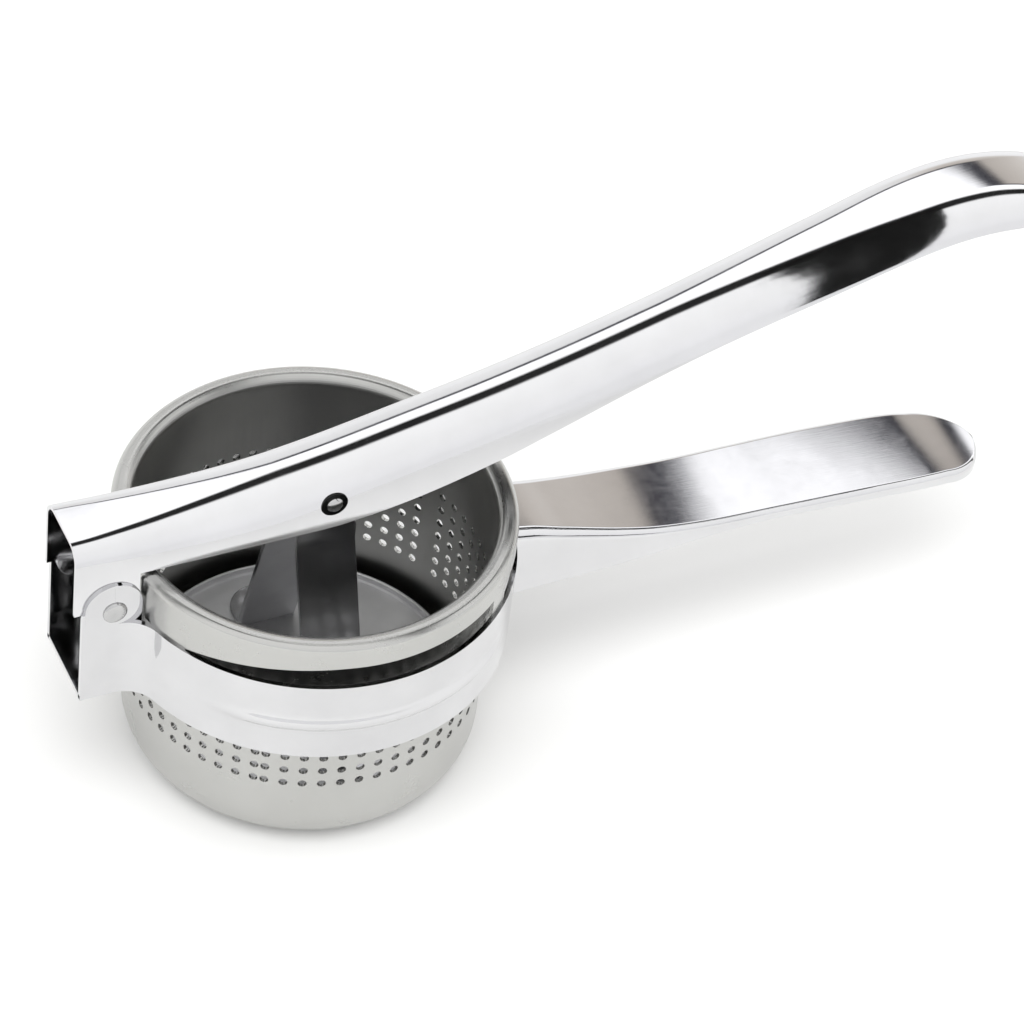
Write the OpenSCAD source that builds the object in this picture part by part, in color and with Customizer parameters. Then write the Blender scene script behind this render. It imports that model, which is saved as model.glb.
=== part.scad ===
// Hand potato ricer: a perforated basket hangs in a ring frame, and a levered handle
// pushes a round presser down inside it. All parts are pressed stainless sheet.
// Origin: middle of the basket's underside. Z is the basket's axis, X runs to the grips.

/* [Basket] */
// Outer radius of the basket's wall
basket_r = 41; // [39:0.5:42]
// Height of the basket, floor to rim
basket_h = 69; // [67:0.5:69]
// Outer radius of the rolled rim
rim_r = 45; // [44.6:0.1:45]
// Height of the down-turned skirt under the rim
skirt_h = 6.2; // [4:0.2:8]
// Thickness of the basket's sheet
basket_t = 0.8; // [0.6:0.1:1]
// Outer radius between the wall and the floor
basket_corner = 10.5; // [8:0.5:12]
// Radius of a hole
hole_r = 1.0; // [0.8:0.1:1.2]
// Distance between rows of holes
hole_pitch = 4.1; // [3.8:0.1:4.4]
// Rows of holes in the wall
hole_rows = 7; // [3:1:8]
// Height of the lowest row
first_row = 22; // [18:1:24]

/* [Frame] */
// Outer radius of the ring
ring_r = 45.6; // [45.5:0.1:46]
// Height of the ring's lower edge
ring_low = 35.8; // [34:0.1:38]
// Height of the ring's upper edge
ring_top = 57.3; // [56:0.1:57.4]
// Sheet thickness of the frame
frame_t = 1.2; // [1:0.1:1.2]
// Half the outer width of the hinge channel
channel_half = 10.5; // [10.5:0.1:11]
// Open end of the hinge channel
channel_end = -58; // [-60:0.5:-57]

/* [Handles] */
// Sheet thickness of the handles
handle_t = 0.9; // [0.7:0.1:1]
// Hinge axis, distance behind the basket's axis
hinge_x = -50.6; // [-51:0.1:-50.4]
// Hinge axis, height
hinge_z = 61.1; // [60.8:0.1:61.4]
// Reach of the upper grip
upper_reach = 184; // [183:0.5:187]
// Reach of the lower grip
lower_reach = 173; // [172:0.5:176]

/* [Presser] */
// Radius of the presser plate
plate_r = 37.4; // [36.5:0.1:37.4]
// Height of the presser plate's underside, closed
plate_z = 10; // [10:0.5:12]
// Height of the presser's pin above the basket's underside
pin_z = 76.5; // [76.3:0.1:76.7]
// Half the width of the bracket's legs
leg_half = 7; // [6:0.5:7]

/* [Hidden] */
$fn = 96;

steel = "silver";
dark_steel = "darkgray";

// Basket: two punched runs of hole columns, each [first angle, last angle, steps], the
// angle of the plain strip between them, the rim and its supporting tabs
column_runs = [[-124.5, 18.4, 24], [28.3, 232.1, 35]];
plain_angle = 23.4;
rim_round = 1.6;
floor_hole_reach = 27;
tab_rear = [150, 167];
tab_front = [44, 52];

// Frame: fillets where the ring runs into the channel, ears, and the pressed rib
fillet_r = 8;
ear_r = 6.6;
ear_z = hinge_z + 1.3;
ear_x = hinge_x - 0.2;
rib_low = 44;
rib_high = 47.8;
rib_out = 0.8;

// Handles: clearances, rivets
side_gap = 0.3;
hinge_r = 2.0;
running_gap = 0.05;
upper_half = channel_half - frame_t - side_gap + 0.2;
lug_reach = 6;
lug_drop = 6.4;
plunger_r = 2.2;

// Presser: plate, lip and the bracket's legs
plate_t = 1.2;
lip_t = 1.0;
lip_h = 3.0;
leg_t = 1.2;
leg_y = 6.8;
bend_z = 62;
foot_y = 22;
foot_t = 1.0;
foot_top = plate_z + plate_t + foot_t;

// Points of a circular arc in a plane
function arc(c, r, a0, a1, n) =
    [for (i = [0 : n]) c + r * [cos(a0 + (a1 - a0) * i / n), sin(a0 + (a1 - a0) * i / n)]];

// Smooth value through a list of [x, value] stations
function span(t, x, i) = x >= t[i + 1][0] && i < len(t) - 2 ? span(t, x, i + 1) : i;
function slope(t, i) = i <= 0 || i >= len(t) - 1 ? 0 :
    (t[i + 1][1] - t[i - 1][1]) / (t[i + 1][0] - t[i - 1][0]);
function hermite(u, p, q, a, b) =
    p * (2 * pow(u, 3) - 3 * u * u + 1) + a * (pow(u, 3) - 2 * u * u + u)
    + q * (3 * u * u - 2 * pow(u, 3)) + b * (pow(u, 3) - u * u);
function smooth_at(t, x) =
    let (i = span(t, x, 0), w = t[i + 1][0] - t[i][0], u = max(0, min(1, (x - t[i][0]) / w)))
    hermite(u, t[i][1], t[i + 1][1], slope(t, i) * w, slope(t, i + 1) * w);

// One section of a pressed channel that is open below, as a closed loop of [y, z]. Its
// walls spread by flare towards their lower edges.
function channel_section(half, top, low, round, t, flare = 0) = concat(
    [[half + flare, low]], arc([half - round, top - round], round, 0, 90, 6),
    arc([round - half, top - round], round, 90, 180, 6), [[-half - flare, low]],
    [[t - half - flare, low]], arc([round - half, top - round], round - t, 180, 90, 6),
    arc([half - round, top - round], round - t, 90, 0, 6), [[half + flare - t, low]]);

// A channel lofted through sections that stand across the X axis
module channel_loft(xs, sections) {
    n = len(sections[0]);
    m = len(xs);
    half = n / 2;
    points = [for (i = [0 : m - 1]) for (p = sections[i]) [xs[i], p[0], p[1]]];
    sides = [for (i = [0 : m - 2]) for (j = [0 : n - 1]) for (k = [0, 1])
        let (a = i * n + j, b = i * n + (j + 1) % n)
        k == 0 ? [a, b, b + n] : [a, b + n, a + n]];
    caps = [for (e = [0, m - 1]) for (j = [0 : half - 2]) for (k = [0, 1])
        let (a = e * n + j, b = a + 1, c = e * n + n - 1 - j, d = c - 1,
            f = k == 0 ? [a, c, b] : [b, c, d])
        e == 0 ? f : [f[2], f[1], f[0]]];
    polyhedron(points, concat(sides, caps), convexity = 8);
}

// Half the wall-to-rim profile of the basket, as a strip of sheet. The skirt is as long as
// the tabs that rest on the ring.
module basket_profile() {
    r_in = basket_r - basket_t;
    corner = [basket_r - basket_corner, basket_corner];
    rim_c = [basket_r + rim_round, basket_h - rim_round - basket_t];
    edge_c = [rim_r - rim_round, basket_h - rim_round];
    polygon(concat(
        [[0, 0]], arc(corner, basket_corner, -90, 0, 12),
        arc([rim_c[0], rim_c[1]], rim_round, 180, 90, 8),
        arc(edge_c, rim_round - basket_t, 90, 0, 8),
        [[rim_r - basket_t, ring_top], [rim_r, ring_top]],
        arc(edge_c, rim_round, 0, 90, 8),
        arc([rim_c[0], rim_c[1]], rim_round + basket_t, 90, 180, 8),
        arc(corner, basket_corner - basket_t, 0, -90, 12), [[0, basket_t]]));
}

// Cuts the skirt back to its short height between two angles
module skirt_window(from, to) {
    rotate([0, 0, from])
        rotate_extrude(angle = to - from)
            translate([rim_r - basket_t - 1, ring_top - 1])
                square([basket_t + 2, basket_h - skirt_h - ring_top + 1]);
}

module basket() {
    color(steel) difference() {
        rotate([0, 0, plain_angle]) rotate_extrude() basket_profile();
        skirt_window(-tab_front[0], tab_front[0]);
        skirt_window(tab_rear[1], 360 - tab_rear[1]);
        for (side = [0, 1]) mirror([0, side, 0]) skirt_window(tab_front[1], tab_rear[0]);
        for (run = column_runs, c = [0 : run[2]], row = [0 : hole_rows - 1])
            rotate([0, 0, run[0] + (run[1] - run[0]) * c / run[2]])
                translate([basket_r - 3, 0, first_row + row * hole_pitch])
                    rotate([0, 90, 0]) cylinder(r = hole_r, h = 5, $fn = 24);
        for (i = [-7 : 7], j = [-7 : 7])
            if (norm([i + 0.5, j + 0.5]) * hole_pitch < floor_hole_reach)
                translate([(i + 0.5) * hole_pitch, (j + 0.5) * hole_pitch, -1])
                    cylinder(r = hole_r, h = 3, $fn = 24);
    }
}

// Plan of the ring and the channel behind it, filled
module keyhole(r, half, fillet, back) {
    cx = -sqrt(pow(r + fillet, 2) - pow(half + fillet, 2));
    circle(r, $fn = 180);
    translate([back, -half]) square([-30 - back, 2 * half]);
    for (s = [-1, 1]) difference() {
        polygon([[cx, 0], [cx, s * (half + fillet)], [-20, 0]]);
        translate([cx, s * (half + fillet)]) circle(fillet);
    }
}

module ring_frame() {
    inner_half = channel_half - frame_t;
    color(steel) {
        difference() {
            union() {
                translate([0, 0, ring_low]) linear_extrude(ring_top - ring_low) difference() {
                    keyhole(ring_r, channel_half, fillet_r, channel_end);
                    keyhole(ring_r - frame_t, inner_half, fillet_r + frame_t, channel_end - 5);
                }
                translate([0, 0, ring_low]) linear_extrude(frame_t) difference() {
                    translate([channel_end, -channel_half])
                        square([-40 - channel_end, 2 * channel_half]);
                    circle(ring_r - frame_t, $fn = 180);
                }
                for (side = [-1, 1]) translate([ear_x, side * (channel_half - frame_t / 2), ear_z])
                    rotate([90, 0, 0]) {
                        cylinder(r = ear_r, h = frame_t, center = true);
                        translate([0, -ear_r / 2, 0])
                            cube([2 * ear_r, ear_r, frame_t], center = true);
                    }
                for (side = [0, 180]) rotate([0, 0, side - 145]) rotate_extrude(angle = 110)
                    polygon([[ring_r - 0.3, rib_low], [ring_r, rib_low],
                        [ring_r + rib_out, rib_low + 1.2], [ring_r + rib_out, rib_high - 1.2],
                        [ring_r, rib_high], [ring_r - 0.3, rib_high]]);
            }
            translate([hinge_x, 0, hinge_z]) rotate([90, 0, 0])
                cylinder(r = hinge_r, h = 40, center = true);
        }
    }
}

// Lower handle: a channel whose web is on top, shallower and wider towards the grip
lower_root = ring_r - 3.6;
lower_top = [[40, 53.2], [51, 51.8], [60, 49.5], [73, 46.4], [84, 44.4], [98, 42.9],
    [114, 42.2], [134, 41.2], [155, 39.6], [lower_reach, 37.4]];
lower_low = [[40, 35.4], [60, 36.0], [73, 36.9], [84, 38.0], [98, 39.3], [114, 39.6],
    [134, 38.4], [155, 36.6], [lower_reach, 34.2]];
lower_half = [[40, 9.4], [51, 9.6], [60, 10.2], [73, 11.2], [84, 11.8], [114, 12.3],
    [134, 12.5], [155, 12.2], [165, 10.6], [169, 8.8], [171.5, 6.4], [lower_reach, 3.6]];
lower_flare = [[40, 1.8], [60, 1.0], [73, 0.4], [84, 0.1], [100, 0], [lower_reach, 0]];
lower_round = [[40, 3], [60, 2.6], [84, 1.8], [114, 1.6], [lower_reach, 1.6]];

module lower_handle() {
    xs = concat([for (i = [0 : 20]) lower_root + i * (160 - lower_root) / 20],
        [for (x = [163, 165.5, 168, 170, 171.3, 172.2]) x / 173 * lower_reach], [lower_reach]);
    color(steel) difference() {
        channel_loft(xs, [for (x = xs) channel_section(smooth_at(lower_half, x),
            smooth_at(lower_top, x), smooth_at(lower_low, x), smooth_at(lower_round, x),
            handle_t, smooth_at(lower_flare, x))]);
        cylinder(r = ring_r, h = 100, $fn = 180);
    }
}

// Upper handle: round-topped channel over the basket, an S-bend, then a wide shallow grip
upper_top = [[-60, 80.4], [-48, 80.5], [-35, 81.2], [-18, 82.8], [0, 85.4], [20, 89.4],
    [40, 93.6], [60, 98.6], [80, 104.4], [100, 110.2], [120, 115.8], [137, 120.2],
    [150, 122.4], [162, 122.3], [174, 119.4], [upper_reach, 114.4]];
upper_low = [[-44, 69.7], [-30, 69.6], [-10, 69.4], [3, 69.6], [20, 72.2], [39, 77.4],
    [52, 82.2], [73, 90.4], [96, 98.6], [120, 106.4], [140, 112.6], [152, 114.6],
    [164, 114.2], [175, 112], [upper_reach, 108.6]];
upper_width = [[-60, 9.2], [80, 9.2], [120, 10.6], [150, 11.6], [172, 11.2], [178, 9.6],
    [182, 7], [upper_reach, 4]];
upper_round = [[-60, 4.4], [-48, 5.4], [-20, 8.2], [0, 9.1], [50, 9.1], [90, 7.6], [130, 6],
    [160, 4.6], [178, 3.8], [upper_reach, 3.2]];
function lug_low(x) = hinge_z - sqrt(max(0, pow(lug_drop, 2) - pow(x - hinge_x, 2)));
function upper_edge(x) = x < hinge_x + lug_reach + 0.05
    ? (x < hinge_x - lug_drop ? hinge_z : min(hinge_z, lug_low(x))) : smooth_at(upper_low, x);

module upper_handle() {
    back = hinge_x - 8.8;
    lug_end = hinge_x + lug_reach;
    xs = concat([back], [for (i = [0 : 10]) hinge_x - lug_drop + i * (lug_drop + lug_reach) / 10],
        [for (i = [0 : 30]) lug_end + 0.1 + i * (174 - lug_end) / 30],
        [for (x = [176.5, 179, 181, 182.4, 183.4]) x / 184 * upper_reach], [upper_reach]);
    color(steel) difference() {
        channel_loft(xs, [for (x = xs) channel_section(smooth_at(upper_width, x),
            smooth_at(upper_top, x), upper_edge(x), smooth_at(upper_round, x), handle_t)]);
        translate([hinge_x, 0, hinge_z]) rotate([90, 0, 0])
            cylinder(r = hinge_r + running_gap, h = 40, center = true);
        translate([0, 0, pin_z]) rotate([90, 0, 0])
            cylinder(r = plunger_r, h = 40, center = true);
    }
}

// A rivet across the tool: a shank along Y with a domed head at each end
module cross_rivet(shank_r, grip_half, head_r, head_h) {
    rotate([90, 0, 0]) {
        cylinder(r = shank_r, h = 2 * grip_half, center = true);
        for (end = [0, 1]) mirror([0, 0, end]) translate([0, 0, grip_half])
            rotate_extrude() polygon(concat([[0, 0], [head_r, 0], [head_r, head_h * 0.3]],
                [for (a = [15 : 15 : 90]) [head_r * cos(a), head_h * (0.3 + 0.7 * sin(a))]]));
    }
}

module hinge_rivet() {
    color(dark_steel) translate([hinge_x, 0, hinge_z])
        cross_rivet(hinge_r, channel_half, 2.75, 0.8);
}

module plunger_rivet() {
    color(dark_steel) translate([0, 0, pin_z]) cross_rivet(plunger_r, 9.2, 3.25, 1.3);
}

module presser_plate() {
    lip_r = plate_r - lip_t;
    color(steel) difference() {
        translate([0, 0, plate_z]) rotate_extrude($fn = 180) polygon(concat(
            [[0, 0]], arc([plate_r - 1, 1], 1, -90, 0, 4),
            arc([plate_r - lip_t / 2, lip_h - lip_t / 2], lip_t / 2, 0, 180, 8),
            [[lip_r, plate_t + 0.4], [lip_r - 0.4, plate_t], [0, plate_t]]));
        for (side = [-1, 1]) translate([0, side * rivet_y, 0])
            cylinder(r = rivet_r, h = 40);
    }
}

// Bracket: two legs that hang on the pin, spread, and end in feet on the plate
rivet_y = 26.8;
rivet_r = 1.5;

module bracket_leg() {
    top = pin_z + 6;
    foot_end = rivet_y + 7;
    lean = leg_t * 1.08;
    difference() {
        intersection() {
            translate([leg_half + 1, 0, 0]) rotate([90, 0, -90]) mirror([1, 0, 0])
                linear_extrude(2 * leg_half + 2) polygon([[leg_y, top], [leg_y, bend_z],
                    [foot_y, foot_top], [foot_end, foot_top], [foot_end, foot_top - foot_t],
                    [foot_y - lean, foot_top - foot_t], [leg_y - leg_t, bend_z],
                    [leg_y - leg_t, top]]);
            translate([0, foot_end + 1, 0]) rotate([90, 0, 0]) linear_extrude(foot_end + 1) {
                polygon([[-leg_half, 0], [leg_half, 0], [leg_half, bend_z + 4],
                    [3.6, pin_z + 1.6], [-3.6, pin_z + 1.6], [-leg_half, bend_z + 4]]);
                translate([0, pin_z]) circle(4);
            }
            linear_extrude(top + 1) {
                translate([-leg_half - 1, 0]) square([2 * leg_half + 2, foot_y]);
                translate([-leg_half, foot_y - 1]) square([2 * leg_half, rivet_y - foot_y - 1]);
                translate([0, rivet_y - 2]) circle(leg_half);
            }
        }
        translate([0, 0, pin_z]) rotate([90, 0, 0])
            cylinder(r = plunger_r + running_gap, h = 40, center = true);
        translate([0, rivet_y, 0]) cylinder(r = rivet_r, h = 40);
    }
}

module presser_bracket() {
    color(dark_steel) for (side = [0, 1]) mirror([0, side, 0]) bracket_leg();
}

module bracket_rivets() {
    color(dark_steel) for (side = [-1, 1]) translate([0, side * rivet_y, 0]) {
        translate([0, 0, plate_z]) cylinder(r = rivet_r, h = plate_t + foot_t);
        translate([0, 0, foot_top]) cylinder(r = 2.6, h = 0.8);
        translate([0, 0, plate_z - 0.6]) cylinder(r = 2.4, h = 0.6);
    }
}

basket();
ring_frame();
lower_handle();
upper_handle();
hinge_rivet();
plunger_rivet();
presser_plate();
presser_bracket();
bracket_rivets();
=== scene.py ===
import math

import bmesh
import bpy
from mathutils import Matrix, Vector


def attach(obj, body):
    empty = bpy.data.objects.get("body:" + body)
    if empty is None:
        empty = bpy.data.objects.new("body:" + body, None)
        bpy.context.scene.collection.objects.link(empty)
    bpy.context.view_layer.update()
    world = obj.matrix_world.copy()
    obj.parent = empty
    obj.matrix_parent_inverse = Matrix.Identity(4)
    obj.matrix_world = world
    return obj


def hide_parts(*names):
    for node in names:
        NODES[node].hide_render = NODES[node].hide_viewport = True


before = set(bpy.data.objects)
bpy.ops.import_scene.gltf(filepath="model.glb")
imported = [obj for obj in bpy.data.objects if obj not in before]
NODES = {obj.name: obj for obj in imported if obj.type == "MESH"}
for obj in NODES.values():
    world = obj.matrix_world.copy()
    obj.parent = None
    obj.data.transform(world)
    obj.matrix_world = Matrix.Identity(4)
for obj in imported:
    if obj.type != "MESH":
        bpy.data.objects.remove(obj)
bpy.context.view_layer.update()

MM = 0.001

# ---------------------------------------------------------------- driving dimensions, in mm
HINGE = Vector((-50.6, 0, 61.1))
PIN = Vector((0, 0, 76.5))

# Ring frame: the band round the basket, the channel behind it, its ears and the pressed rib
FRAME_T = 1.2
RING_R = 45.6
RING_LOW, RING_TOP = 35.8, 57.3
CHANNEL_HALF, CHANNEL_END = 10.5, -58.0
FILLET_R = 8.0
FILLET_X = -math.sqrt((RING_R + FILLET_R) ** 2 - (CHANNEL_HALF + FILLET_R) ** 2)
EAR_R, EAR_X, EAR_Z = 6.6, -50.8, 62.4
RIB_Z, RIB_HALF, RIB_OUT = 45.9, 2.5, 0.78

# Skirt under the basket's rim
SKIRT_R, SKIRT_T, SKIRT_Z = 45.0, 0.8, 62.8

# Handles: outlines as (x, height) and (x, half width), rounded ends from ROUNDED to REACH
HANDLE_T = 0.9
UPPER_ROUNDED, UPPER_REACH = 172.0, 184.0
UPPER_TOP = [(-60, 80.4), (-48, 80.5), (-35, 81.2), (-18, 82.8), (0, 85.4), (20, 89.4),
             (40, 93.6), (60, 98.6), (80, 104.4), (100, 110.2), (120, 115.8), (137, 120.2),
             (150, 122.4), (162, 122.3), (174, 119.4), (UPPER_REACH, 114.4)]
UPPER_LOW = [(-44, 69.7), (-30, 69.6), (-10, 69.4), (3, 69.6), (20, 72.2), (39, 77.4),
             (52, 82.2), (73, 90.4), (96, 98.6), (120, 106.4), (140, 112.6), (152, 114.6),
             (164, 114.2), (175, 112.0), (UPPER_REACH, 108.6)]
UPPER_HALF = [(-60, 9.2), (80, 9.2), (120, 10.6), (150, 11.6), (UPPER_ROUNDED, 11.2), (178, 9.6)]
UPPER_ROUND = [(-60, 4.4), (-48, 5.4), (-20, 8.2), (0, 9.1), (50, 9.1), (90, 8.7), (120, 8.2),
               (137, 7.4), (150, 7.3), (164, 7.0), (175, 5.6), (180, 4.4), (UPPER_REACH, 3.2)]
UPPER_SINK = 0.12
LUG_BACK, LUG_DROP, LUG_REACH, LUG_STEP = 8.8, 6.4, 6.0, 0.1

LOWER_ROOT, LOWER_ROUNDED, LOWER_REACH = 44.2, 160.2, 173.0
LOWER_TOP = [(40, 53.2), (51, 51.8), (60, 49.5), (73, 46.4), (84, 44.4), (98, 42.9),
             (114, 42.2), (134, 41.2), (155, 39.6), (LOWER_REACH, 37.4)]
LOWER_LOW = [(40, 35.4), (60, 36.0), (73, 36.9), (84, 38.0), (98, 39.3), (114, 39.6),
             (134, 38.4), (155, 36.6), (LOWER_REACH, 34.2)]
LOWER_HALF = [(40, 9.4), (51, 9.6), (60, 10.2), (73, 11.2), (84, 11.8), (114, 12.3),
              (134, 12.5), (155, 12.2), (165, 10.6), (169, 8.8)]
LOWER_FLARE = [(40, 1.8), (60, 1.0), (73, 0.4), (84, 0.1), (100, 0), (LOWER_REACH, 0)]
LOWER_ROUND = [(40, 3), (60, 2.6), (84, 1.8), (114, 1.6), (LOWER_REACH, 1.6)]

# ---------------------------------------------------------------- light, and camera in mm and degrees
SKY, KEY = 1.30, 13.0
CAMERA_PLACE = Vector((-277.8, -568.5, 679.9)) * MM
CAMERA_AZIMUTH, CAMERA_ELEVATION, CAMERA_ROLL = -29.93, 43.83, 7.85
CAMERA_LENS, CAMERA_SENSOR = 140.625, 36


# ---------------------------------------------------------------- curves and meshes
def smooth_at(table, x):
    """Value at x of a smooth curve through (x, value) stations."""
    i = 0
    while i < len(table) - 2 and x >= table[i + 1][0]:
        i += 1

    def slope(k):
        if k <= 0 or k >= len(table) - 1:
            return 0.0
        return (table[k + 1][1] - table[k - 1][1]) / (table[k + 1][0] - table[k - 1][0])

    w = table[i + 1][0] - table[i][0]
    u = max(0.0, min(1.0, (x - table[i][0]) / w))
    p, q, a, b = table[i][1], table[i + 1][1], slope(i) * w, slope(i + 1) * w
    return (p * (2 * u ** 3 - 3 * u * u + 1) + a * (u ** 3 - 2 * u * u + u)
            + q * (3 * u * u - 2 * u ** 3) + b * (u ** 3 - u * u))


def eased(u):
    """u held between 0 and 1, with a soft start and end."""
    u = max(0.0, min(1.0, u))
    return u * u * (3 - 2 * u)


def arc(cy, cz, r, a0, a1, n=10):
    angles = [math.radians(a0 + (a1 - a0) * i / n) for i in range(n + 1)]
    return [(cy + r * math.cos(a), cz + r * math.sin(a)) for a in angles]


def place_mesh(name, mesh):
    obj = bpy.data.objects.new(name, mesh)
    bpy.context.scene.collection.objects.link(obj)
    return obj


def new_object(name, verts, faces):
    """Smooth-shaded object from points in mm."""
    mesh = bpy.data.meshes.new(name)
    mesh.from_pydata([tuple(c * MM for c in v) for v in verts], [], faces)
    mesh.validate()
    bm = bmesh.new()
    bm.from_mesh(mesh)
    bmesh.ops.recalc_face_normals(bm, faces=bm.faces)
    bm.to_mesh(mesh)
    bm.free()
    mesh.shade_smooth()
    return place_mesh(name, mesh)


def join(name, pieces):
    """One object from several that stand at the origin."""
    bm = bmesh.new()
    for piece in pieces:
        bm.from_mesh(piece.data)
    mesh = bpy.data.meshes.new(name)
    bm.to_mesh(mesh)
    bm.free()
    mesh.shade_smooth()
    for piece in pieces:
        bpy.data.objects.remove(piece)
    return place_mesh(name, mesh)


def soften(obj, width, segments=3):
    """Rounds the sharp edges and keeps the flat faces flat."""
    bevel = obj.modifiers.new("edge_round", "BEVEL")
    bevel.width = width * MM
    bevel.segments = segments
    bevel.limit_method = "ANGLE"
    bevel.angle_limit = math.radians(40)
    bevel.harden_normals = True
    flats = obj.modifiers.new("flat_faces", "WEIGHTED_NORMAL")
    flats.weight = 90
    return obj


def strip_loft(name, rings):
    """Closed sheet: a list of equal closed rings, capped at both ends."""
    n = len(rings[0])
    verts = [p for ring in rings for p in ring]
    faces = []
    for i in range(len(rings) - 1):
        for j in range(n):
            k = (j + 1) % n
            faces.append((i * n + j, i * n + k, (i + 1) * n + k, (i + 1) * n + j))
    for end in (0, len(rings) - 1):
        for j in range(n // 2 - 1):
            a, b = end * n + j, end * n + j + 1
            faces.append((a, b, end * n + n - 2 - j, end * n + n - 1 - j))
    return new_object(name, verts, faces)


def revolve(name, profile, centre, axis, steps):
    """Turns a profile of (radius, height), which starts and ends on the axis, about that axis."""
    turn = Vector((0, 0, 1)).rotation_difference(Vector(axis))
    verts, rows = [], []
    for r, h in profile:
        count = 1 if r == 0 else steps
        first = len(verts)
        for s in range(count):
            a = 2 * math.pi * s / steps
            verts.append(tuple(turn @ Vector((r * math.cos(a), r * math.sin(a), h)) + Vector(centre)))
        rows.append([first + s % count for s in range(steps + 1)])
    faces = []
    for low, high in zip(rows, rows[1:]):
        for s in range(steps):
            face = list(dict.fromkeys([low[s], low[s + 1], high[s + 1], high[s]]))
            if len(face) > 2:
                faces.append(tuple(face))
    return new_object(name, verts, faces)


def copy_of_node(node, name):
    """A piece with the node's own surface, free to be rounded at its edges."""
    mesh = NODES[node].data.copy()
    mesh.materials.clear()
    bm = bmesh.new()
    bm.from_mesh(mesh)
    bmesh.ops.remove_doubles(bm, verts=bm.verts, dist=2e-6)
    bmesh.ops.dissolve_limit(bm, angle_limit=math.radians(0.6), verts=bm.verts, edges=bm.edges)
    bm.to_mesh(mesh)
    bm.free()
    mesh.shade_smooth()
    return place_mesh(name, mesh)


def dress(obj, mat, body, slot, *replaced):
    obj.data.materials.clear()
    obj.data.materials.append(mat)
    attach(obj, body)
    if replaced:
        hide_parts(*replaced)


# ---------------------------------------------------------------- materials
def node_tools(owner):
    """Nodes and links of a material or world, and a function that adds a node with its values."""
    owner.use_nodes = True
    nodes, links = owner.node_tree.nodes, owner.node_tree.links

    def add(kind, **values):
        node = nodes.new(kind)
        for key, value in values.items():
            if key in node.inputs:
                node.inputs[key].default_value = value
            else:
                setattr(node, key, value)
        return node
    return nodes, links, add


def set_range(node, low, high, to_low=0.0, to_high=1.0):
    names = ("From Min", "From Max", "To Min", "To Max")
    for name, value in zip(names, (low, high, to_low, to_high)):
        node.inputs[name].default_value = value


def fill_ramp(ramp, stops):
    """Gives a colour ramp its stops, each a place from 0 to 1 and a colour."""
    elements = ramp.color_ramp.elements
    while len(elements) < len(stops):
        elements.new(0.5)
    for element, (place, colour) in zip(elements, stops):
        element.position = place
    for element, (place, colour) in zip(elements, stops):
        element.color = (*colour, 1)


def lean_normal(tools, coords, flare):
    """Shading normal that leans up by flare, for walls that splay."""
    nodes, links, add = tools
    lean = add("ShaderNodeVectorMath", operation="ADD")
    links.new(coords.outputs["Normal"], lean.inputs[0])
    lean.inputs[1].default_value = (0, 0, flare)
    unit = add("ShaderNodeVectorMath", operation="NORMALIZE")
    links.new(lean.outputs["Vector"], unit.inputs[0])
    turn = add("ShaderNodeVectorTransform", vector_type="NORMAL", convert_from="OBJECT",
               convert_to="WORLD")
    links.new(unit.outputs["Vector"], turn.inputs["Vector"])
    return turn.outputs["Vector"]


def steel(name, light, dark, rough, brush_scale, brush_strength, ripple, flare=0.0):
    """Stainless sheet: cloudy tone between light and dark, smudged roughness, fine lines from
    polishing and a slight ripple left by the press. flare leans the sides' shading outwards, as
    in a splayed channel."""
    mat = bpy.data.materials.new(name)
    nodes, links, add = tools = node_tools(mat)
    shader = nodes["Principled BSDF"]
    shader.inputs["Metallic"].default_value = 1.0
    coords = add("ShaderNodeTexCoord")

    clouds = add("ShaderNodeTexNoise", Scale=55.0, Detail=6.0, Roughness=0.6)
    links.new(coords.outputs["Object"], clouds.inputs["Vector"])
    tone = add("ShaderNodeValToRGB")
    fill_ramp(tone, [(0.3, dark), (0.72, light)])
    links.new(clouds.outputs["Fac"], tone.inputs["Fac"])
    links.new(tone.outputs["Color"], shader.inputs["Base Color"])

    smudge = add("ShaderNodeTexNoise", Scale=140.0, Detail=8.0, Roughness=0.7, Distortion=0.6)
    links.new(coords.outputs["Object"], smudge.inputs["Vector"])
    polish = add("ShaderNodeMapRange")
    set_range(polish, 0.35, 0.75, *rough)
    links.new(smudge.outputs["Fac"], polish.inputs["Value"])
    links.new(polish.outputs["Result"], shader.inputs["Roughness"])

    stretch = add("ShaderNodeMapping")
    stretch.inputs["Scale"].default_value = brush_scale
    links.new(coords.outputs["Object"], stretch.inputs["Vector"])
    lines = add("ShaderNodeTexNoise", Scale=1.0, Detail=4.0, Roughness=0.65)
    links.new(stretch.outputs["Vector"], lines.inputs["Vector"])
    fine = add("ShaderNodeBump", Strength=brush_strength, Distance=0.00002)
    links.new(lines.outputs["Fac"], fine.inputs["Height"])
    if flare:
        links.new(lean_normal(tools, coords, flare), fine.inputs["Normal"])

    waves = add("ShaderNodeTexNoise", Scale=90.0, Detail=1.0)
    links.new(coords.outputs["Object"], waves.inputs["Vector"])
    broad = add("ShaderNodeBump", Strength=ripple, Distance=0.0002)
    links.new(waves.outputs["Fac"], broad.inputs["Height"])
    links.new(fine.outputs["Normal"], broad.inputs["Normal"])
    links.new(broad.outputs["Normal"], shader.inputs["Normal"])
    return mat


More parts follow.
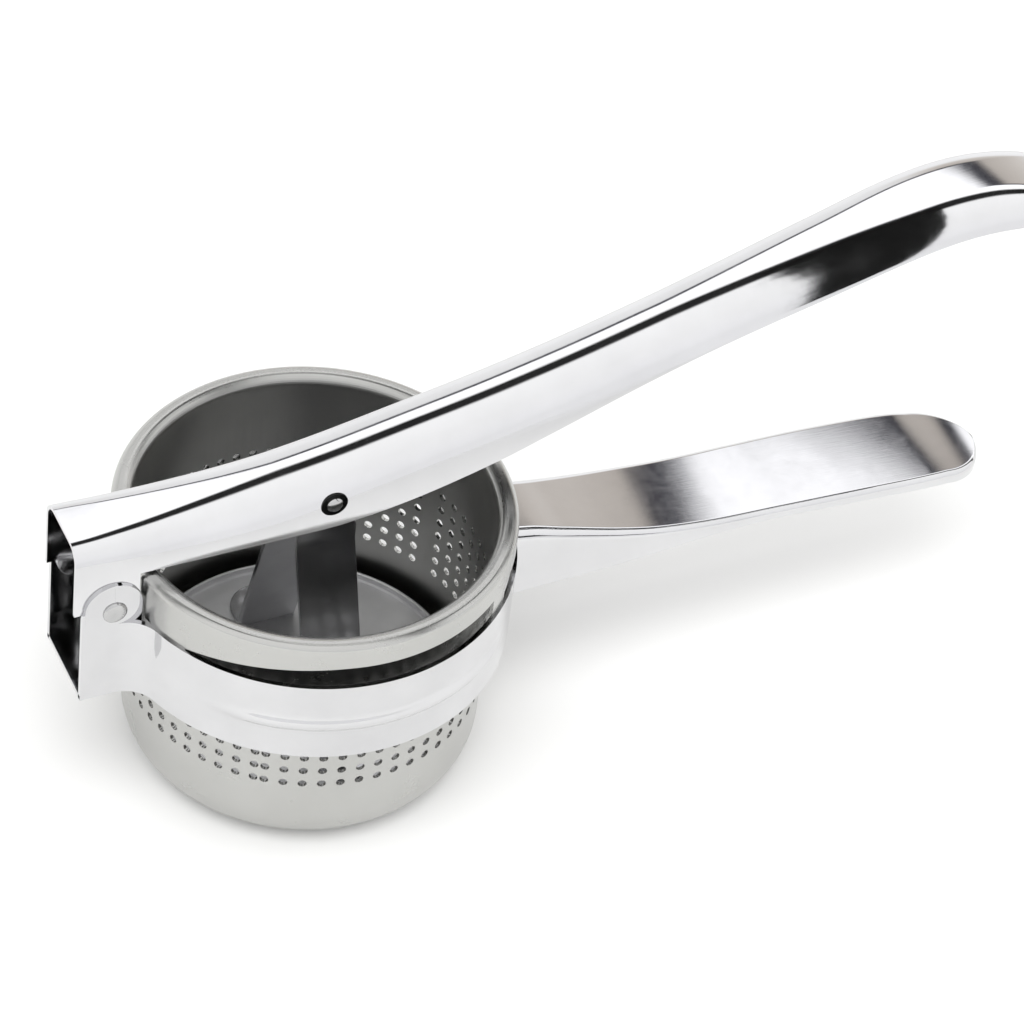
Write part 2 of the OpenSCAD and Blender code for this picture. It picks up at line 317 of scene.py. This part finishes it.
def rougher_inside_with_painted_shade(mat, painted_darkening, rough):
    """The inner face of the basket is less polished than the outer one, so it is rougher. Its colour is
    also darkened as painted shade inside the basket.
    """
    nodes, links, add = node_tools(mat)
    shader = nodes["Principled BSDF"]
    shape = add("ShaderNodeNewGeometry")
    outward = add("ShaderNodeVectorMath", operation="MULTIPLY")
    links.new(shape.outputs["Position"], outward.inputs[0])
    outward.inputs[1].default_value = (1, 1, 0)
    unit = add("ShaderNodeVectorMath", operation="NORMALIZE")
    links.new(outward.outputs["Vector"], unit.inputs[0])
    facing = add("ShaderNodeVectorMath", operation="DOT_PRODUCT")
    links.new(unit.outputs["Vector"], facing.inputs[0])
    links.new(shape.outputs["True Normal"], facing.inputs[1])
    inside = add("ShaderNodeMapRange")
    set_range(inside, -0.25, -0.8)
    links.new(facing.outputs["Value"], inside.inputs["Value"])

    def mix_in(socket, data_type, socket_type, value):
        mix = add("ShaderNodeMix", data_type=data_type)
        first, second = (s for s in mix.inputs if s.name in ("A", "B") and s.type == socket_type)
        result = [s for s in mix.outputs if s.type == socket_type][0]
        links.new(inside.outputs["Result"], mix.inputs[0])
        links.new(shader.inputs[socket].links[0].from_socket, first)
        second.default_value = value
        links.new(result, shader.inputs[socket])
        return mix

    # Painted shade: the colour of the inner face is multiplied darker.
    mix_in("Base Color", "RGBA", "RGBA", (painted_darkening, painted_darkening, painted_darkening, 1)).blend_type = "MULTIPLY"
    mix_in("Roughness", "FLOAT", "VALUE", rough)


ALONG_X = (60, 2600, 2600)
MIRROR = steel("mirror_steel", (0.67, 0.67, 0.68), (0.61, 0.61, 0.62), (0.05, 0.10), ALONG_X, 0.08, 0.008)
LEVER = steel("lever_steel", (0.72, 0.72, 0.73), (0.67, 0.67, 0.68), (0.05, 0.10), ALONG_X, 0.08, 0.008,
              flare=0.4)
GRIP = steel("grip_steel", (0.69, 0.69, 0.70), (0.64, 0.64, 0.65), (0.06, 0.11), ALONG_X, 0.08, 0.008)
SATIN = steel("satin_steel", (0.52, 0.52, 0.505), (0.48, 0.48, 0.465), (0.24, 0.29),
              (400, 400, 3200), 0.12, 0.004)
# The light base tone is painted light, lighter than the plate's polished steel would be. The plate is
# also made rougher.
PRESSER = steel("presser_steel", (0.86, 0.86, 0.87), (0.74, 0.74, 0.75), (0.40, 0.55),
                (900, 900, 900), 0.20, 0.03)
# Much darker than the other polished steels: painted shade, for legs whose faces mirror the shaded inside
# of the basket.
LEG = steel("leg_steel", (0.44, 0.44, 0.45), (0.34, 0.34, 0.35), (0.16, 0.26),
            (900, 900, 60), 0.25, 0.03)
RIVET = steel("rivet_steel", (0.62, 0.62, 0.62), (0.42, 0.42, 0.42), (0.16, 0.34),
              (1400, 1400, 1400), 0.40, 0.20)
# Near black: painted shade for the countersink round the plunger pin, not oil.
SHADE = steel("countersink_shade_paint", (0.05, 0.05, 0.05), (0.02, 0.02, 0.02), (0.3, 0.5),
              (1400, 1400, 1400), 0.40, 0.10)
# The basket's inner face gets painted shade in its colour and a rougher finish.
rougher_inside_with_painted_shade(SATIN, 0.86, 0.32)


# ---------------------------------------------------------------- handles
def round_end(table, start, reach):
    """Stations (x, half width) of the rounded end that a handle runs out in. It stops a little
    short of the full quarter turn, so that the last section keeps some width."""
    wide = smooth_at(table, start)
    steps, last = 28, 84
    angles = [math.radians(last * i / steps) for i in range(1, steps + 1)]
    return [(start + (reach - start) * math.sin(a) / math.sin(angles[-1]), wide * math.cos(a))
            for a in angles]


def channel_ring(x, half, top, low, corner, flare=0.0):
    """Section of a channel that opens downwards: up the outside and back along the inside."""
    t = HANDLE_T
    corner = min(corner, 0.96 * half)
    outer = ([(half + flare, low)] + arc(half - corner, top - corner, corner, 0, 90)
             + arc(corner - half, top - corner, corner, 90, 180) + [(-half - flare, low)])
    bend = max(corner - t, 0.05)
    inner = ([(t - half - flare, low)]
             + arc(bend + t - half, top - t - bend, bend, 180, 90)
             + arc(half - t - bend, top - t - bend, bend, 90, 0)
             + [(half + flare - t, low)])
    return [(x, y, z) for y, z in outer + inner]


def upper_edge(x):
    """Lower edge of the walls: the round lug about the hinge, then the outline."""
    if x >= HINGE.x + LUG_REACH + LUG_STEP / 2:
        return smooth_at(UPPER_LOW, x)
    if x < HINGE.x - LUG_DROP:
        return HINGE.z
    return HINGE.z - math.sqrt(max(0.0, LUG_DROP ** 2 - (x - HINGE.x) ** 2))


def upper_handle():
    lug_end = HINGE.x + LUG_REACH
    lug = [HINGE.x - LUG_DROP * math.cos(math.pi * i / 32) for i in range(26)]
    wall, steps = lug_end + LUG_STEP, 150
    xs = [HINGE.x - LUG_BACK] + [x for x in lug if x < lug_end - LUG_STEP] + [lug_end]
    xs += [wall + i * (UPPER_ROUNDED - wall) / steps for i in range(steps + 1)]
    stations = [(x, smooth_at(UPPER_HALF, x)) for x in xs]
    stations += round_end(UPPER_HALF, UPPER_ROUNDED, UPPER_REACH)
    rings = [channel_ring(x, half, smooth_at(UPPER_TOP, x) - UPPER_SINK, upper_edge(x),
                          smooth_at(UPPER_ROUND, x)) for x, half in stations]
    obj = soften(strip_loft("upper_handle_shell", rings), 0.28)
    dress(obj, LEVER, "lever", "polished_steel", "upper_handle")


def lower_handle():
    steps, gap, bite = 140, 0.2, 0.3
    length = LOWER_ROUNDED - gap - LOWER_ROOT
    xs = [LOWER_ROOT + i * length / steps for i in range(steps + 1)]
    stations = [(x, smooth_at(LOWER_HALF, x)) for x in xs]
    stations += round_end(LOWER_HALF, LOWER_ROUNDED, LOWER_REACH)
    rings = [channel_ring(x, half, smooth_at(LOWER_TOP, x), smooth_at(LOWER_LOW, x),
                          smooth_at(LOWER_ROUND, x), smooth_at(LOWER_FLARE, x)) for x, half in stations]
    # The root follows the ring and bites a little into it
    for ring in rings[:3]:
        for j, (x, y, z) in enumerate(ring):
            ring[j] = (max(x, math.sqrt(RING_R ** 2 - y * y) - bite + (x - LOWER_ROOT) * 0.3), y, z)
    obj = soften(strip_loft("lower_handle_shell", rings), 0.28)
    dress(obj, GRIP, "frame", "polished_steel", "lower_handle")


# ---------------------------------------------------------------- ring frame
def frame_path():
    """Centre line of the sheet from the channel's open end, round the ring and back, as
    (x, y, outward normal x, y)."""
    mid_half = CHANNEL_HALF - FRAME_T / 2
    mid_r = RING_R - FRAME_T / 2
    bend = FILLET_R + FRAME_T / 2
    cy = mid_half + bend
    touch = math.atan2(cy, -FILLET_X)
    ear = [EAR_X - EAR_R * math.cos(math.pi * i / 40) for i in range(41)]
    side = [(x, -mid_half, 0, -1) for x in [CHANNEL_END, EAR_X - EAR_R - 0.3] + ear if x < FILLET_X]
    steps = 16
    for i in range(steps + 1):
        a = math.pi / 2 - (math.pi / 2 - touch) * i / steps
        side.append((FILLET_X + bend * math.cos(a), -cy + bend * math.sin(a), -math.cos(a), -math.sin(a)))
    start, steps = -math.pi + touch, 240
    angles = [start * (1 - 2 * i / steps) for i in range(1, steps)]
    ring = [(mid_r * math.cos(a), mid_r * math.sin(a), math.cos(a), math.sin(a)) for a in angles]
    return side + ring + [(x, -y, nx, -ny) for x, y, nx, ny in reversed(side)]


def rib_height(x, y, z):
    """How far the pressed rib stands out at a point of the band. It fades out at both ends."""
    turn = abs(math.degrees(math.atan2(y, x)))
    along = max(0.0, min(1.0, (turn - 40) / 16)) * max(0.0, min(1.0, (148 - turn) / 22))
    across = max(0.0, 1 - abs(z - RIB_Z) / RIB_HALF)
    return RIB_OUT * eased(across) * eased(along)


def band_top(x):
    """Top edge of the sheet: level, with the rear half of an ear on each side of the channel."""
    if x >= FILLET_X - 0.01:
        return RING_TOP
    away = EAR_X - EAR_R - x
    if away > 0:
        return EAR_Z - 3 * away
    return EAR_Z + math.sqrt(max(0, EAR_R ** 2 - (x - EAR_X) ** 2))


def band_ring(x, y, nx, ny):
    """Section of the sheet at a point of its centre line: up the outer face, down the inner."""
    levels = [0, 0.04, 0.1, 0.2, 0.28] + [0.32 + i * 0.012 for i in range(26)] + [0.66, 0.75, 0.85, 0.94]
    top = band_top(x)
    zs = [RING_LOW + (RING_TOP - RING_LOW) * level for level in levels]
    zs[-1] = min(zs[-1], top - 0.4)
    zs.append(top)

    def face(out):
        lifts = [out + rib_height(x, y, z) for z in zs]
        return [(x + nx * lift, y + ny * lift, z) for lift, z in zip(lifts, zs)]

    return face(FRAME_T / 2) + face(-FRAME_T / 2)[::-1]


def ring_frame():
    band = soften(strip_loft("ring_band", [band_ring(*point) for point in frame_path()]), 0.14)
    dress(band, MIRROR, "frame", "polished_steel", "ring_frame")


def channel_web():
    """Web that closes the channel below, bent up from the two walls."""
    rows, edge = 24, CHANNEL_HALF - 0.2
    verts, faces = [], []
    for i in range(rows + 1):
        y = edge * (2 * i / rows - 1)
        for x in (CHANNEL_END, -math.sqrt((RING_R - FRAME_T) ** 2 - y * y)):
            verts += [(x, y, RING_LOW + 0.02), (x, y, RING_LOW + FRAME_T)]
    for i in range(rows):
        a, b = i * 4, (i + 1) * 4
        faces += [(a, a + 2, b + 2, b), (a + 1, b + 1, b + 3, a + 3),
                  (a, b, b + 1, a + 1), (a + 2, a + 3, b + 3, b + 2)]
    faces += [(0, 1, 3, 2), (rows * 4, rows * 4 + 2, rows * 4 + 3, rows * 4 + 1)]
    web = new_object("channel_web", verts, faces)
    dress(web, MIRROR, "frame", "polished_steel")
    web.data.shade_flat()


def ears():
    """Round ears, let into the channel walls and standing free where the walls bend away."""
    steps, r, skin = 54, EAR_R - 0.02, 0.01
    turns = [math.pi * i / steps for i in range(steps + 1)]
    outline = [(EAR_X + r * math.cos(a), EAR_Z + r * math.sin(a)) for a in turns]
    outline += [(EAR_X - r, RING_TOP - 6), (EAR_X + r, RING_TOP - 6)]
    m = len(outline)
    verts, faces = [], []
    for side in (-1, 1):
        start = len(verts)
        for y in (CHANNEL_HALF - skin, CHANNEL_HALF - FRAME_T + skin):
            verts += [(x, side * y, z) for x, z in outline]
        faces += [tuple(range(start, start + m)), tuple(range(start + 2 * m - 1, start + m - 1, -1))]
        faces += [(start + i, start + (i + 1) % m, start + m + (i + 1) % m, start + m + i)
                  for i in range(m)]
    dress(soften(new_object("ring_ears", verts, faces), 0.14), MIRROR, "frame", "polished_steel")


def skirt_edges():
    """The rim's skirt runs out gently to the tabs that sit on the ring."""
    steps, back, sweep, skin = 60, 151, 56, 0.01
    inner, outer, top = SKIRT_R - SKIRT_T + skin, SKIRT_R - skin, SKIRT_Z + 0.5
    pieces = []
    for side, where in ((-1, "near"), (1, "far")):
        rings = []
        for i in range(steps + 1):
            a = math.radians(back - sweep * i / steps)
            rise = math.sin(math.pi / 2 * i / steps) ** 0.85
            low = RING_TOP + 0.02 + (SKIRT_Z - RING_TOP) * rise
            c, s = math.cos(a), side * math.sin(a)
            rings.append([(outer * c, outer * s, low), (outer * c, outer * s, top),
                          (inner * c, inner * s, top), (inner * c, inner * s, low)])
        pieces.append(strip_loft("skirt_edge_" + where, rings))
    dress(soften(join("skirt_edges", pieces), 0.12), SATIN, "frame", "satin_steel")


# ---------------------------------------------------------------- rivets
def dome(r, h, base, n=10):
    turns = [math.pi / 2 * i / n for i in range(n)]
    return [(r * math.cos(a), base + h * math.sin(a)) for a in turns] + [(0, base + h)]


def shank(name, r, half, centre):
    return revolve(name, [(0, -half), (r, -half), (r, half), (0, half)], centre, (0, 1, 0), 48)


def hinge_rivet():
    """Upset head at each end: low dome with a soft shoulder and a shallow set mark."""
    head = [(0, -0.3), (2.75, -0.3), (2.75, 0.18), (2.62, 0.42), (2.3, 0.6), (1.8, 0.72),
            (1.2, 0.77), (0.7, 0.74), (0.3, 0.68), (0, 0.66)]
    pieces = [revolve("hinge_head", head, HINGE + Vector((0, side * CHANNEL_HALF, 0)), (0, side, 0), 64)
              for side in (-1, 1)]
    pieces.append(shank("hinge_shank", 2, 10.4, HINGE))
    obj = soften(join("hinge_rivet_set", pieces), 0.08, 2)
    dress(obj, RIVET, "frame", "rivet_steel", "hinge_rivet")


def plunger_rivet():
    """Small domed pin end in a countersunk ring. The ring is near black, painted shade of the
    countersink.
    """
    head = [(0, -0.3), (1.95, -0.3), (1.95, 0.1)] + dome(1.95, 0.95, 0.15)
    recess = [(0, -0.3), (3.1, -0.3), (3.1, 0.1), (3.0, 0.16), (2.7, 0.08), (2.2, 0.06), (0, 0.06)]
    pins, recesses = [], []
    for side in (-1, 1):
        centre = PIN + Vector((0, side * 9.2, 0))
        pins.append(revolve("pin", head, centre, (0, side, 0), 64))
        recesses.append(revolve("recess", recess, centre, (0, side, 0), 64))
    pins.append(shank("plunger_shank", 2.2, 9, PIN))
    obj = soften(join("plunger_rivet_set", pins), 0.08, 2)
    dress(obj, RIVET, "lever", "rivet_steel", "plunger_rivet")
    # The ring round each pin end is painted shade.
    dress(join("plunger_recess", recesses), SHADE, "lever", "rivet_steel")


# ---------------------------------------------------------------- presser and basket
def bracket_legs():
    legs = soften(copy_of_node("presser_bracket", "bracket_legs"), 0.22)
    # The legs take the steel darkened as painted shade.
    dress(legs, LEG, "presser", "polished_steel", "presser_bracket")


def finish_node(node, mat):
    """A node that keeps its own shape gets its finish in every material slot."""
    materials = NODES[node].data.materials
    if not materials:
        materials.append(mat)
    for i in range(len(materials)):
        materials[i] = mat


upper_handle()
lower_handle()
ring_frame()
channel_web()
ears()
skirt_edges()
hinge_rivet()
plunger_rivet()
bracket_legs()
finish_node("basket", SATIN)
finish_node("presser_plate", PRESSER)
finish_node("bracket_rivets", RIVET)


# ---------------------------------------------------------------- studio
def sky():
    """Ceiling of long diffusers parallel to X, with two dark gaps. across is how far overhead a
    direction meets it. Towards +X the diffusers behind the second gap are warmer."""
    world = bpy.data.worlds.new("studio")
    bpy.context.scene.world = world
    nodes, links, add = node_tools(world)

    def calculate(operation, first, second):
        node = add("ShaderNodeMath", operation=operation)
        for socket, value in zip(node.inputs, (first, second)):
            if isinstance(value, float):
                socket.default_value = value
            else:
                links.new(value, socket)
        return node.outputs["Value"]

    coords = add("ShaderNodeTexCoord")
    split = add("ShaderNodeSeparateXYZ")
    links.new(coords.outputs["Generated"], split.inputs["Vector"])
    x, y, z = (split.outputs[axis] for axis in "XYZ")
    reach = 3.0
    across = calculate("DIVIDE", y, calculate("MAXIMUM", z, 0.03))
    place = calculate("DIVIDE", calculate("ADD", across, reach), 2 * reach)

    def diffusers(stops):
        ramp = add("ShaderNodeValToRGB")
        fill_ramp(ramp, [((at + reach) / (2 * reach), colour) for at, *colour in stops])
        links.new(place, ramp.inputs["Fac"])
        return ramp.outputs["Color"]

    overhead = [(-3.0, 0.84, 0.84, 0.85), (-1.4, 0.90, 0.90, 0.91), (-0.5, 0.93, 0.93, 0.93),
                (0.17, 1.00, 1.00, 1.00), (0.24, 0.02, 0.02, 0.02), (0.50, 0.02, 0.02, 0.02),
                (0.57, 1.15, 1.15, 1.15), (0.97, 1.20, 1.20, 1.22), (1.03, 0.04, 0.04, 0.05),
                (1.11, 0.04, 0.04, 0.05)]
    left = diffusers(overhead + [(1.17, 0.82, 0.82, 0.82), (3.0, 0.92, 0.92, 0.92)])
    right = diffusers(overhead + [(1.19, 0.50, 0.46, 0.42), (1.75, 0.66, 0.62, 0.58),
                                  (2.2, 0.90, 0.90, 0.90), (3.0, 0.95, 0.95, 0.95)])
    side = add("ShaderNodeMapRange", interpolation_type="SMOOTHSTEP")
    set_range(side, 0.22, 0.42)
    links.new(x, side.inputs["Value"])
    both = add("ShaderNodeMixRGB")
    links.new(side.outputs["Result"], both.inputs["Fac"])
    links.new(left, both.inputs["Color1"])
    links.new(right, both.inputs["Color2"])
    background = nodes["Background"]
    links.new(both.outputs["Color"], background.inputs["Color"])
    background.inputs["Strength"].default_value = SKY


def matt(name, colour, roughness, specular):
    mat = bpy.data.materials.new(name)
    nodes, links, add = node_tools(mat)
    inputs = nodes["Principled BSDF"].inputs
    inputs["Base Color"].default_value = (*colour, 1)
    inputs["Roughness"].default_value = roughness
    inputs["Specular IOR Level"].default_value = specular
    return mat


def floor():
    half = 3000
    corners = [(-half, -half, 0), (half, -half, 0), (half, half, 0), (-half, half, 0)]
    ground = new_object("floor", corners, [(0, 1, 2, 3)])
    ground.data.materials.append(matt("floor", (0.88, 0.88, 0.87), 0.9, 0.1))


def flag():
    """Black card in front of the grips, seen only in reflections. It is part of a drum about an
    axis along X; each row gives its angle from above and its two edges along X, in drum radii."""
    reach = 350
    rows = [(-22, 0.05, 0.27), (0, 0.045, 0.275), (20, 0.075, 0.28), (40, 0.13, 0.29),
            (52, 0.17, 0.30), (64, 0.215, 0.315), (76, 0.275, 0.335), (88, 0.33, 0.35)]
    verts = []
    for angle, low, high in rows:
        a = math.radians(angle)
        verts += [(118 + reach * low, -reach * math.sin(a), 115 + reach * math.cos(a)),
                  (148 + reach * high, -reach * math.sin(a), 120 + reach * math.cos(a))]
    faces = [(2 * i, 2 * i + 1, 2 * i + 3, 2 * i + 2) for i in range(len(rows) - 1)]
    card = new_object("flag", verts, faces)
    card.data.materials.append(matt("black_cloth", (0.01, 0.01, 0.01), 0.5, 0.0))
    card.visible_camera = card.visible_diffuse = card.visible_shadow = False


def key_light():
    """Large softbox that looks straight down, kept out of the reflections."""
    light = bpy.data.lights.new("key", "AREA")
    light.shape = "RECTANGLE"
    light.size, light.size_y = 1.4, 1.2
    light.energy = KEY
    box = bpy.data.objects.new("key", light)
    bpy.context.scene.collection.objects.link(box)
    box.location = (-0.4, -0.52, 1.5)
    box.rotation_euler = Vector((0, 0, -1)).to_track_quat("-Z", "Y").to_euler()
    box.visible_glossy = False


def main_camera():
    """Long lens from the front left, high up, rolled so that the tool leans in the frame."""
    azimuth, elevation, roll = (math.radians(a) for a in (CAMERA_AZIMUTH, CAMERA_ELEVATION, CAMERA_ROLL))
    forward = Vector((-math.sin(azimuth) * math.cos(elevation),
                      math.cos(azimuth) * math.cos(elevation), -math.sin(elevation)))
    right = Vector((math.cos(azimuth), math.sin(azimuth), 0))
    up = right.cross(forward)
    c, s = math.cos(roll), math.sin(roll)
    right, up = c * right + s * up, c * up - s * right
    camera = bpy.data.cameras.new("main_camera")
    camera.sensor_width = CAMERA_SENSOR
    camera.lens = CAMERA_LENS
    camera.clip_end = 20
    obj = bpy.data.objects.new("main_camera", camera)
    bpy.context.scene.collection.objects.link(obj)
    turn = Matrix((right, up, -forward)).transposed()
    obj.matrix_world = Matrix.Translation(CAMERA_PLACE) @ turn.to_4x4()
    bpy.context.scene.camera = obj


sky()
floor()
flag()
key_light()
main_camera()
bpy.context.scene.view_settings.view_transform = "Standard"
